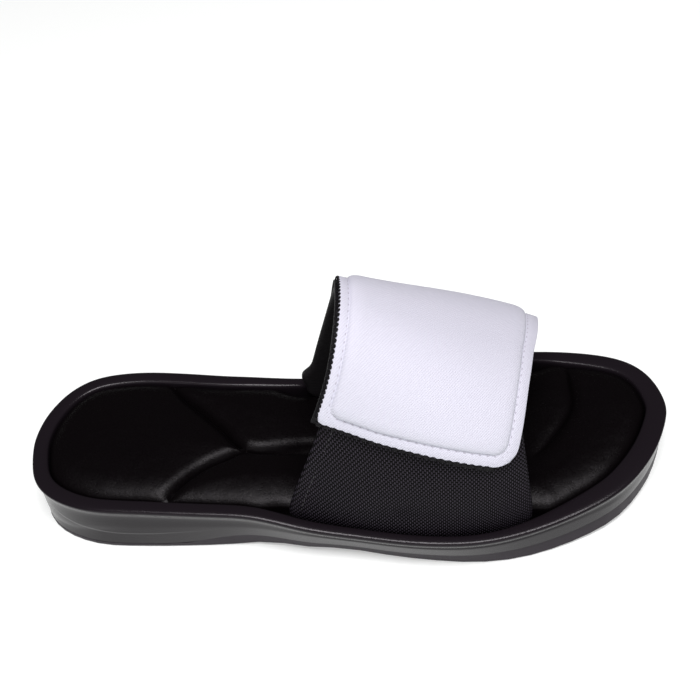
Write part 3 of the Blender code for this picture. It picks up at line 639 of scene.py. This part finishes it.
def makeFootbed():
    # Points along the edge and the channels, and an even grid between them, joined as triangles.
    step = bed["spacing"]
    edgeLoop = smoothRun(bedOutline(), step, closed=True)
    runs = channelRuns()
    edgeRun = asRun(edgeLoop)
    inner = [edgeLoop]
    for offset in bed["rings"][1:]:
        ring = insetLoop(edgeLoop, offset * mm)
        inner.append(ring[distanceTo(ring, [edgeRun])[0] > bed["ringKeep"] * offset * mm])
    lines = []
    for run in runs:
        tangent = np.gradient(run[:, :2], axis=0)
        tangent /= np.linalg.norm(tangent, axis=1)[:, None]
        side = np.column_stack([-tangent[:, 1], tangent[:, 0]])
        fine = [run[:, :2]]
        for offset in bed["rings"][1:bed["channelRings"] + 1]:
            for sign in (-1, 1):
                fine.append(run[:, :2] + sign * side * (run[:, 2:3] + offset * mm))
        lines.append(np.vstack(fine))
    rows = np.arange(edgeLoop[:, 1].min(), edgeLoop[:, 1].max(), step * 0.866)
    grid = []
    for index, y in enumerate(rows):
        xs = np.arange(edgeLoop[:, 0].min() + (index % 2) * step / 2, edgeLoop[:, 0].max(), step)
        grid.append(np.column_stack([xs, np.full(len(xs), y)]))
    grid = np.vstack(grid)
    middle = np.vstack(lines)
    middle = middle[insideLoop(middle, edgeLoop)]
    middle = middle[distanceTo(middle, [edgeRun])[0] > bed["edgeClear"]]
    grid = grid[insideLoop(grid, edgeLoop)]
    clear = distanceTo(grid, [edgeRun])[0] > bed["rings"][-1] * mm + bed["edgeClear"]
    clear &= distanceTo(grid, runs)[0] > bed["rings"][bed["channelRings"]] * mm + bed["lineClear"]
    points = np.vstack(inner + [middle, grid[clear]])
    keep = {}
    for index, (x, y) in enumerate(points):
        keep.setdefault((round(x / bed["closest"]), round(y / bed["closest"])), index)
    chosen = sorted(set(keep.values()) | set(range(len(edgeLoop))))
    points = points[chosen]
    border = list(range(len(edgeLoop)))
    edges = list(zip(border, border[1:] + border[:1]))
    solved = geometry.delaunay_2d_cdt([Vector(p) for p in points], edges, [border], 1, 1e-7)
    flat = np.array([tuple(p) for p in solved[0]])
    top = np.column_stack([flat, bedHeight(flat, edgeLoop, runs)])
    faces = [tuple(face) for face in solved[2]]
    directed = {edge: None for face in faces for edge in zip(face, face[1:] + face[:1])}
    openEdges = [(a, b) for a, b in directed if (b, a) not in directed]
    size = len(top)
    low = top.copy()
    low[:, 2] = ridgeHeight(low[:, 0]) - sole["bedDepth"] + bed["lift"]
    faces += [tuple(size + index for index in reversed(face)) for face in faces]
    faces += [(b, a, size + a, size + b) for a, b in openEdges]
    return newPiece("footbed_pads", np.vstack([top, low]), faces, satinKnit)


footbed = makeFootbed()
recalculateNormals(footbed)
finishPiece(footbed, "footbed_fabric", "footbed", sharp=60)


print("band")

band = {
    # rear and front edge of the band, as shares of the sole's length from its middle
    "lateralFoot": (-0.095, 0.262),
    "top": (0.004, 0.240),
    "medialFoot": (-0.062, 0.308),
    "edgeSweep": 1.3,  # how late the edges swing from foot to top
    "thickness": 3.2 * mm,
    "rearHeight": 108.0 * mm,
    "frontHeight": 76.0 * mm,
    "fullness": 2.4,
    "hem": 4.8 * mm,  # stitch line in from the rear edge
    "corner": 4.0 * mm,
    "cornerFoot": -3.0 * mm,
    # spare cloth at the medial foot: how far it stands out to the rear and off the band,
    # its turn, its length, and how far in from the edge it starts (share of the width)
    "fold": 3.2 * mm,
    "foldLift": 1.3 * mm,
    "foldTurn": 0.952,
    "foldLength": 5.0 * mm,
    "foldReach": 0.16,
    # the cloth's waves: size outside near the foot and inside, how close they lie, where they fade
    "waves": 0.55 * mm,
    "innerWaves": 0.2 * mm,
    "waveScales": (9.0, 3.5, 4.0),
    "waveFade": (0.14, 0.24),
    # depth and half width of the furrow that the hem's stitches pull
    "rearFurrow": (0.28 * mm, 0.55 * mm),
    "frontFurrow": (0.22 * mm, 0.8 * mm),
    # the dent in the lateral foot: turn, share of the width, half length, half width, depth
    "dent": (0.055, 0.46, 5.0 * mm, 7.0 * mm, 0.8 * mm),
    "stitch": 3.0 * mm,
    "stitchLength": 2.2 * mm,
    "stitchRadius": 0.26 * mm,
    "stitchSunk": 0.10 * mm,
    "rows": 300,
    "columns": 72,
}


def bandEdge(turn, which):
    swing = np.sin(np.pi * np.clip(turn, 0.0, 1.0)) ** band["edgeSweep"]
    foot = np.where(np.asarray(turn) < 0.5, band["lateralFoot"][which], band["medialFoot"][which])
    return (foot + (band["top"][which] - foot) * swing) * sole["length"]


def footLine(medial):
    # The band's middle line in plan along one foot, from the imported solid's lowest faces.
    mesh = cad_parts["strap_band"].data
    places = []
    for face in mesh.polygons:
        centre = face.center
        if face.normal.z < -0.8 and centre.z < sole["heelHeight"] and (centre.y > 0) == medial:
            places += [mesh.vertices[index].co for index in face.vertices]
    places = np.array([tuple(place) for place in places])
    return np.poly1d(np.polyfit(places[:, 0], places[:, 1], 4))


footLines = (footLine(False), footLine(True))
sweep = {
    "turns": np.linspace(-0.06, 1.06, 561),
    "acrosses": np.linspace(-0.20, 1.40, 161),
    "samples": 240,
    "footDrop": 12 * mm,
}


def bandTable():
    # The band's middle surface as a table: a row for each turn round the instep, a column
    # for each place across it.
    angle = np.pi * np.arange(sweep["samples"] + 1) / sweep["samples"]
    cosine, sine = np.cos(angle), np.abs(np.sin(angle))
    power = 2.0 / band["fullness"]
    table = np.zeros((len(sweep["turns"]), len(sweep["acrosses"]), 3))
    for column, across in enumerate(sweep["acrosses"]):
        feet = []
        for name in ("lateralFoot", "medialFoot"):
            feet.append((band[name][0] + (band[name][1] - band[name][0]) * across) * sole["length"])
        yLateral, yMedial = float(footLines[0](feet[0])), float(footLines[1](feet[1]))
        lows = [float(ridgeHeight(foot)) for foot in feet]
        top = band["rearHeight"] * (1 - across) + band["frontHeight"] * across - band["thickness"] / 2
        low = np.where(cosine > 0, lows[0], lows[1])
        swing = np.sign(cosine) * np.abs(cosine) ** power
        y = (yLateral + yMedial) / 2 - (yMedial - yLateral) / 2 * swing
        z = low + (top - low) * sine**power
        girth = np.concatenate([[0.0], np.cumsum(np.hypot(np.diff(y), np.diff(z)))])
        place = sweep["turns"] * girth[-1]
        drop = sweep["footDrop"]
        girthOut = np.concatenate([[-drop], girth, [girth[-1] + drop]])
        rear, front = bandEdge(sweep["turns"], 0), bandEdge(sweep["turns"], 1)
        heights = np.concatenate([[lows[0] - drop], z, [lows[1] - drop]])
        table[:, column, 0] = rear * (1 - across) + front * across
        table[:, column, 1] = np.interp(place, girthOut, np.concatenate([[yLateral], y, [yMedial]]))
        table[:, column, 2] = np.interp(place, girthOut, heights)
    return table


surface = bandTable()
surfaceNormals = np.cross(np.gradient(surface, axis=1), np.gradient(surface, axis=0))
surfaceNormals /= np.linalg.norm(surfaceNormals, axis=2, keepdims=True)
midColumn = int(np.argmin(np.abs(sweep["acrosses"] - 0.5)))
inBand = (sweep["turns"] >= 0) & (sweep["turns"] <= 1)
bandGirth = float(np.linalg.norm(np.diff(surface[inBand, midColumn], axis=0), axis=1).sum())
bandWidth = float(bandEdge(0.5, 1) - bandEdge(0.5, 0))


def onBand(turn, across, lift=0.0):
    # Places on the band's middle surface, lifted off it along its normal.
    turn, across = np.broadcast_arrays(np.asarray(turn, float), np.asarray(across, float))
    found = []
    row = (turn - sweep["turns"][0]) / (sweep["turns"][1] - sweep["turns"][0])
    column = (across - sweep["acrosses"][0]) / (sweep["acrosses"][1] - sweep["acrosses"][0])
    r = np.clip(np.floor(row).astype(int), 0, surface.shape[0] - 2)
    c = np.clip(np.floor(column).astype(int), 0, surface.shape[1] - 2)
    fr, fc = (row - r)[..., None], (column - c)[..., None]
    for grid in (surface, surfaceNormals):
        near = grid[r, c] * (1 - fc) + grid[r, c + 1] * fc
        far = grid[r + 1, c] * (1 - fc) + grid[r + 1, c + 1] * fc
        found.append(near * (1 - fr) + far * fr)
    normal = found[1] / np.linalg.norm(found[1], axis=-1, keepdims=True)
    return found[0] + normal * np.asarray(lift)[..., None]


def addThreadMap(piece, uvOfPoint):
    layer = piece.data.uv_layers.new(name="threads")
    corners = np.empty(len(piece.data.loops), int)
    piece.data.loops.foreach_get("vertex_index", corners)
    layer.data.foreach_set("uv", uvOfPoint[corners].astype(np.float32).ravel())


def makeSheet(name, outer, inner, threads, *finishes):
    # A closed sheet between two grids of points; the second finish is its inner face.
    rows, columns = outer.shape[:2]
    size = rows * columns
    index = np.arange(size).reshape(rows, columns)
    a, b, c, d = index[:-1, :-1], index[:-1, 1:], index[1:, 1:], index[1:, :-1]
    front = np.stack([a, b, c, d], axis=-1).reshape(-1, 4)
    faces = [tuple(face) for face in front.tolist()]
    faces += [tuple(face) for face in (size + front[:, ::-1]).tolist()]
    rim = list(index[0]) + list(index[1:, -1]) + list(index[-1, -2::-1]) + list(index[-2:0:-1, 0])
    faces += [(int(q), int(p), int(size + p), int(size + q)) for p, q in zip(rim, rim[1:] + rim[:1])]
    piece = newPiece(name, np.vstack([outer.reshape(-1, 3), inner.reshape(-1, 3)]), faces, *finishes)
    if len(finishes) > 1:
        for face in piece.data.polygons[len(front):2 * len(front)]:
            face.material_index = 1
    flat = threads.reshape(-1, 2)
    addThreadMap(piece, np.vstack([flat, flat]))
    recalculateNormals(piece)
    return piece


def sheetOnBand(name, turn, across, high, low, *finishes):
    # A sheet from one height over the band's middle surface to another.
    threads = np.stack([turn * bandGirth, onBand(turn, across)[..., 0]], axis=-1)
    return makeSheet(name, onBand(turn, across, high), onBand(turn, across, low), threads, *finishes)


def edgeGraded(width, radius, count):
    # Shares of a width, close together over both rounded edges and even between them.
    near = radius * (1.0 - np.cos(np.radians([0, 18, 36, 54, 72, 90]))) / width
    return np.concatenate([near, np.linspace(near[-1], 1.0 - near[-1], count)[1:-1], 1.0 - near[::-1]])


def makeBand():
    radius = band["thickness"] / 2
    acrosses = edgeGraded(bandWidth, radius, band["columns"])
    drop = (sole["bedDepth"] - sole["slotGap"]) / bandGirth
    turns = np.linspace(-drop, 1.0 + drop, band["rows"])
    turn, across = np.meshgrid(turns, acrosses, indexing="ij")
    width = bandEdge(turn, 1) - bandEdge(turn, 0)
    # the corners at the feet are rounded off, as far up as the footbed's edge hides
    fromFoot = np.minimum(turn, 1.0 - turn) * bandGirth - band["cornerFoot"]
    narrowed = band["corner"] * (1.0 - rounded(fromFoot, band["corner"])) / width
    narrowed = np.where(fromFoot < 0, band["corner"] / width, narrowed)
    across = narrowed + across * (1.0 - 2.0 * narrowed)
    fold = np.exp(-(((turn - band["foldTurn"]) * bandGirth / band["foldLength"]) ** 2))
    fold = fold * np.clip(1.0 - across / band["foldReach"], 0.0, 1.0)
    across = across - fold * band["fold"] / width
    fromRear, fromFront = across * width, (1.0 - across) * width
    half = radius * rounded(np.minimum(acrosses, 1.0 - acrosses)[None, :] * bandWidth, radius)
    half = half * np.ones_like(turn)
    waves = np.zeros_like(turn)
    alongTurn, alongWidth, layer = band["waveScales"]
    for index in np.ndindex(turn.shape):
        waves[index] = noise.noise(Vector((turn[index] * alongTurn, across[index] * alongWidth, layer)))
    low = 1.0 - smoothStep(turn, *band["waveFade"])
    outer = half + low * waves * band["waves"]
    for name, gap, share in (("rearFurrow", fromRear, 1.0), ("frontFurrow", fromFront, low)):
        depth, reach = band[name]
        outer = outer - depth * np.exp(-(((gap - band["hem"]) / reach) ** 2)) * share
    dentTurn, dentAcross, dentLong, dentWide, dentDeep = band["dent"]
    along, aside = (turn - dentTurn) * bandGirth, (across - dentAcross) * bandWidth
    outer = outer - dentDeep * np.exp(-(np.hypot(along / dentLong, aside / dentWide) ** 2))
    outer = outer + fold * band["foldLift"]
    inner = -half + waves * band["innerWaves"] * (half / radius)
    return sheetOnBand("woven_band", turn, across, outer, inner, ballisticNylon, lining)


wovenBand = makeBand()
finishPiece(wovenBand, "band_webbing", "strap_band", sharp=70)


def makeStitch(name, length, radius, finish):
    # One stitch: a short thread whose narrowed ends dive into the cloth. It lies along X.
    dive, narrowed = 1.6, 0.5  # shares of the radius and of the width
    deselectAll()
    bpy.ops.mesh.primitive_cylinder_add(vertices=6, radius=radius, depth=length,
                                        rotation=(0, math.pi / 2, 0))
    stitch = bpy.context.active_object
    stitch.name = name
    bpy.ops.object.transform_apply(rotation=True)
    bpy.ops.object.mode_set(mode="EDIT")
    bpy.ops.mesh.select_all(action="SELECT")
    bpy.ops.mesh.bisect(plane_co=(0, 0, 0), plane_no=(1, 0, 0))
    bpy.ops.mesh.select_all(action="DESELECT")
    bpy.ops.object.mode_set(mode="OBJECT")
    for vertex in stitch.data.vertices:
        if abs(vertex.co.x) > length * 0.4:
            vertex.co.z -= radius * dive
            vertex.co.y *= narrowed
    stitch.data.materials.append(finish)
    return stitch


def sewAlong(name, stitch, turn, across, lift, pitch, slot):
    # Copies of a stitch at even steps along a run of places on the band, joined as one piece.
    places = onBand(turn, across, lift)
    normals = onBand(turn, across, 1.0) - onBand(turn, across)
    reach = 0.3 * pitch  # ahead and behind, for the run's direction at each copy
    steps = np.linalg.norm(np.diff(places, axis=0), axis=1)
    travelled = np.concatenate([[0.0], np.cumsum(steps)])
    joined = bmesh.new()
    for at in np.arange(pitch / 2, travelled[-1] - pitch / 4, pitch):
        ends = []
        for offset in (-reach, reach):
            where = min(max(at + offset, 0.0), travelled[-1])
            ends.append(Vector([np.interp(where, travelled, places[:, axis]) for axis in range(3)]))
        up = Vector([np.interp(at, travelled, normals[:, axis]) for axis in range(3)]).normalized()
        along = (ends[1] - ends[0]).normalized()
        side = up.cross(along).normalized()
        basis = Matrix((along, side, along.cross(side))).transposed().to_4x4()
        copy = stitch.data.copy()
        copy.transform(Matrix.Translation((ends[0] + ends[1]) / 2) @ basis)
        joined.from_mesh(copy)
        bpy.data.meshes.remove(copy)
    mesh = bpy.data.meshes.new(name)
    joined.to_mesh(mesh)
    joined.free()
    mesh.materials.append(stitch.data.materials[0])
    piece = bpy.data.objects.new(name, mesh)
    bpy.context.scene.collection.objects.link(piece)
    finishPiece(piece, slot, sharp=60)
    bpy.data.objects.remove(stitch)


def sewHem():
    stitch = makeStitch("band_stitch", band["stitchLength"], band["stitchRadius"], blackThread)
    turns = np.linspace(0.0, 1.0, 200)
    across = band["hem"] / (bandEdge(turns, 1) - bandEdge(turns, 0))
    lift = band["thickness"] / 2 - band["stitchSunk"]
    sewAlong("hem_stitches", stitch, turns, across, lift, band["stitch"], "band_webbing")


sewHem()


print("cover flap and hook tape")

# Edges of the flap on the band: turn (share of the girth), rear and front (shares of the
# band's width at that turn).
flapEdges = (
    (0.16, -0.045, 0.88),
    (0.26, -0.035, 0.950),
    (0.36, -0.020, 1.025),
    (0.46, -0.010, 1.110),
    (0.56, 0.000, 1.172),
    (0.75, 0.035, 1.130),
    (0.95, 0.050, 1.010),
)
flap = {
    "lateralEnd": (0.262, 0.202),  # turn at its rear and front corner
    "lateralBow": 0.010,
    "medialEnd": (0.938, 0.930),
    "thickness": 4.0 * mm,
    "marginThickness": 1.6 * mm,
    # thin border outside the seam, at the rear, lateral, front and medial edge
    "margins": (3.6 * mm, 4.9 * mm, 4.8 * mm, 5.0 * mm),
    "slope": 4.6 * mm,
    "crown": 0.5 * mm,
    "crownReach": 20 * mm,
    "seam": (0.22 * mm, 0.7 * mm),  # depth and half width of the seam's furrow
    "seamCorner": 5.0 * mm,
    "corner": 8.5 * mm,
    "rearCorner": 0.45,  # of the front corners' radius
    "sheetGap": 0.4 * mm,
    "hookThickness": 1.0 * mm,
    "hookProud": 1.0 * mm,
    "hookSetBack": 5.5 * mm,
    "hookRows": 160,
    "hookColumns": 40,
    "stitch": 3.1 * mm,
    "stitchLength": 2.3 * mm,
    "stitchRadius": 0.24 * mm,
    "stitchSunk": 0.12 * mm,
    "stitchSetOut": 0.6 * mm,  # from the seam towards the edge
    "rows": 200,
    "columns": 96,
}


def smoothColumn(table, at, index):
    # A column of the table read along a smooth curve through its rows.
    rows = np.array(table)
    place, value = rows[:, 0], rows[:, index]
    slope = np.gradient(value, place)
    at = np.clip(at, place[0], place[-1])
    row = np.clip(np.searchsorted(place, at) - 1, 0, len(place) - 2)
    span = place[row + 1] - place[row]
    t = (at - place[row]) / span
    start = value[row] * (1 + 2 * t) * (1 - t) ** 2 + slope[row] * span * t * (1 - t) ** 2
    return start + value[row + 1] * t**2 * (3 - 2 * t) - slope[row + 1] * span * t**2 * (1 - t)


def flapPlace(end, side, grow=(0.0, 0.0, 0.0, 0.0), corner=0.0):
    # (turn, across) at shares of the flap's length and width, with rounded front corners.
    end, side = (np.array(values, float) for values in np.broadcast_arrays(end, side))
    rear, front, lateral, medial = grow
    start = sum(flap["lateralEnd"]) / 2 - lateral / bandGirth
    stop = sum(flap["medialEnd"]) / 2 + medial / bandGirth
    length = (stop - start) * bandGirth
    width = float(smoothColumn(flapEdges, 0.5, 2) - smoothColumn(flapEdges, 0.5, 1)) * bandWidth
    for radius, frontSide in ((corner, True), (corner * flap["rearCorner"], False)):
        if not radius:
            continue
        cornerEnd, cornerSide = radius / length, radius / width
        for mirrored in (False, True):
            share = 1.0 - end if mirrored else end
            reach = 1.0 - side if frontSide else side
            e, s = 1.0 - share / cornerEnd, 1.0 - reach / cornerSide
            here = (s > 0) & (e > 0)
            eRound = e * np.sqrt(np.clip(1.0 - s**2 / 2, 0, 1))
            sRound = s * np.sqrt(np.clip(1.0 - e**2 / 2, 0, 1))
            share = np.where(here, (1.0 - eRound) * cornerEnd, share)
            reach = np.where(here, (1.0 - sRound) * cornerSide, reach)
            side = 1.0 - reach if frontSide else reach
            end = 1.0 - share if mirrored else share
    turn = start + (stop - start) * end
    lateralSkew = (flap["lateralEnd"][1] - flap["lateralEnd"][0]) * (side - 0.5)
    lateralSkew = lateralSkew + flap["lateralBow"] * 4 * side * (1.0 - side)
    medialSkew = (flap["medialEnd"][1] - flap["medialEnd"][0]) * (side - 0.5)
    turn = turn + lateralSkew * (1.0 - end) ** 3 + medialSkew * end**3
    low = smoothColumn(flapEdges, turn, 1) - rear / bandWidth
    high = smoothColumn(flapEdges, turn, 2) + front / bandWidth
    return turn, low + (high - low) * side


flapLength = (sum(flap["medialEnd"]) - sum(flap["lateralEnd"])) / 2 * bandGirth
flapWidth = float(smoothColumn(flapEdges, 0.5, 2) - smoothColumn(flapEdges, 0.5, 1)) * bandWidth
hookLow = band["thickness"] / 2 + flap["sheetGap"]
flapLow = hookLow + flap["hookThickness"] + flap["sheetGap"]


def makeFlap():
    radius = flap["marginThickness"] / 2
    rear, lateral, front, medial = flap["margins"]
    seamWide = np.array([-1.2, -0.6, -0.3, 0.0, 0.3, 0.7, 1.3, 2.0, 3.0, 4.2]) * mm
    roundEdge = radius * (1.0 - np.cos(np.radians([0, 25, 50, 75])))
    graded = []
    ways = ((flapLength, lateral, medial, flap["rows"]), (flapWidth, rear, front, flap["columns"]))
    for length, near, far, count in ways:
        first = np.concatenate([roundEdge, near + seamWide]) / length
        last = 1.0 - np.concatenate([roundEdge, far + seamWide])[::-1] / length
        graded.append(np.concatenate([first, np.linspace(first[-1], last[0], count)[1:-1], last]))
    end, side = np.meshgrid(*graded, indexing="ij")
    turn, across = flapPlace(end, side, corner=flap["corner"])
    ends, sides = end * flapLength, side * flapWidth
    fromEdge = np.minimum(np.minimum(ends, flapLength - ends), np.minimum(sides, flapWidth - sides))
    # the seam turns its corners on a radius
    soft = flap["seamCorner"]
    fromEnd = np.minimum(ends - lateral, flapLength - ends - medial)
    fromSide = np.minimum(sides - rear, flapWidth - sides - front)
    fromSeam = soft - np.hypot(np.clip(soft - fromEnd, 0, None), np.clip(soft - fromSide, 0, None))
    border = flap["marginThickness"] * (0.5 + 0.5 * rounded(fromEdge, radius))
    body = rounded(fromSeam, flap["slope"]) * (flap["thickness"] - flap["marginThickness"] - flap["crown"])
    crown = flap["crown"] * smoothStep(fromSeam, 0.0, flap["crownReach"])
    seam = flap["seam"][0] * np.exp(-((fromSeam / flap["seam"][1]) ** 2))
    high = flapLow + border + body + crown - seam
    return sheetOnBand("cover_flap_padded", turn, across, high, flapLow, coverTwill, hookTape)


coverFlap = makeFlap()
finishPiece(coverFlap, "cover_fabric", "cover_flap", sharp=60)


def makeHookSheet():
    grow = (flap["hookProud"], -flap["hookSetBack"], flap["hookProud"], -flap["hookSetBack"])
    shares = [np.linspace(0, 1, flap[count]) for count in ("hookRows", "hookColumns")]
    turn, across = flapPlace(*np.meshgrid(*shares, indexing="ij"), grow)
    high = hookLow + flap["hookThickness"]
    return sheetOnBand("hook_tape_sheet", turn, across, high, hookLow, hookTape)


hookSheet = makeHookSheet()
finishPiece(hookSheet, "hook_tape", "hook_sheet", sharp=50)


def flapRun(insets, count):
    # Shares of the flap's length and width along its rear, lateral and front edges, this
    # far in from each.
    rear, lateral, front, medial = insets
    runs = []
    ends = np.linspace(1 - medial / flapLength, lateral / flapLength, count)
    runs.append((ends, np.full(count, rear / flapWidth)))
    sides = np.linspace(rear / flapWidth, 1 - front / flapWidth, count)
    runs.append((np.full(count, lateral / flapLength), sides))
    runs.append((ends[::-1], np.full(count, 1 - front / flapWidth)))
    return runs


def sewFlap():
    stitch = makeStitch("cover_stitch", flap["stitchLength"], flap["stitchRadius"], greyThread)
    insets = [margin - flap["stitchSetOut"] for margin in flap["margins"]]
    ends, sides = (np.concatenate(runs) for runs in zip(*flapRun(insets, 160)))
    turn, across = flapPlace(ends, sides, corner=flap["corner"])
    lift = flapLow + flap["marginThickness"] - flap["stitchSunk"]
    sewAlong("cover_stitches", stitch, turn, across, lift, flap["stitch"], "cover_fabric")


sewFlap()


teeth = {
    # in from the flap's rear and lateral edge, and short of its front and medial one
    "insets": (0.2 * mm, -0.1 * mm, 9.0 * mm, 3.0 * mm),
    # size along the edge, across it and upwards, pitch, height over the flap's underside
    "hook_edge_rear": ((1.7 * mm, 1.6 * mm, 1.2 * mm), 2.0 * mm, 0.9 * mm),
    "hook_edge_lateral": ((2.5 * mm, 2.5 * mm, 1.4 * mm), 3.0 * mm, 1.1 * mm),
    # on a ball one across: height of its flat underside, place and width of the grooves
    "flat": -0.34,
    "groove": 0.16,
    "grooved": 0.84,
}


def makeTooth(size):
    # A ball cut flat where it lies on the tape, and grooved twice into three strands.
    deselectAll()
    bpy.ops.mesh.primitive_uv_sphere_add(segments=12, ring_count=8, radius=0.5)
    tooth = bpy.context.active_object
    bpy.ops.object.mode_set(mode="EDIT")
    bpy.ops.mesh.select_all(action="SELECT")
    bpy.ops.mesh.bisect(plane_co=(0, 0, teeth["flat"]), plane_no=(0, 0, 1), use_fill=True,
                        clear_inner=True)
    for place in (-teeth["groove"], teeth["groove"]):
        bpy.ops.mesh.select_all(action="SELECT")
        bpy.ops.mesh.bisect(plane_co=(place, 0, 0), plane_no=(1, 0, 0))
    bpy.ops.object.mode_set(mode="OBJECT")
    for vertex in tooth.data.vertices:
        if abs(abs(vertex.co.x) - teeth["groove"]) < 0.01:
            vertex.co.y *= teeth["grooved"]
            vertex.co.z *= teeth["grooved"] if vertex.co.z > 0 else 1.0
    tooth.data.transform(Matrix.Diagonal((*size, 1.0)))
    tooth.data.materials.append(hookTape)
    return tooth


def makeHookTeeth():
    # The hook tape's overlocked edge: one lump of thread after another, past the flap's
    # rear and lateral edges.
    runs = flapRun(teeth["insets"], 200)
    for name, (end, side) in zip(("hook_edge_rear", "hook_edge_lateral"), runs):
        size, pitch, above = teeth[name]
        turn, across = flapPlace(end, side)
        sewAlong(name, makeTooth(size), turn, across, flapLow + above, pitch, "hook_tape")


makeHookTeeth()
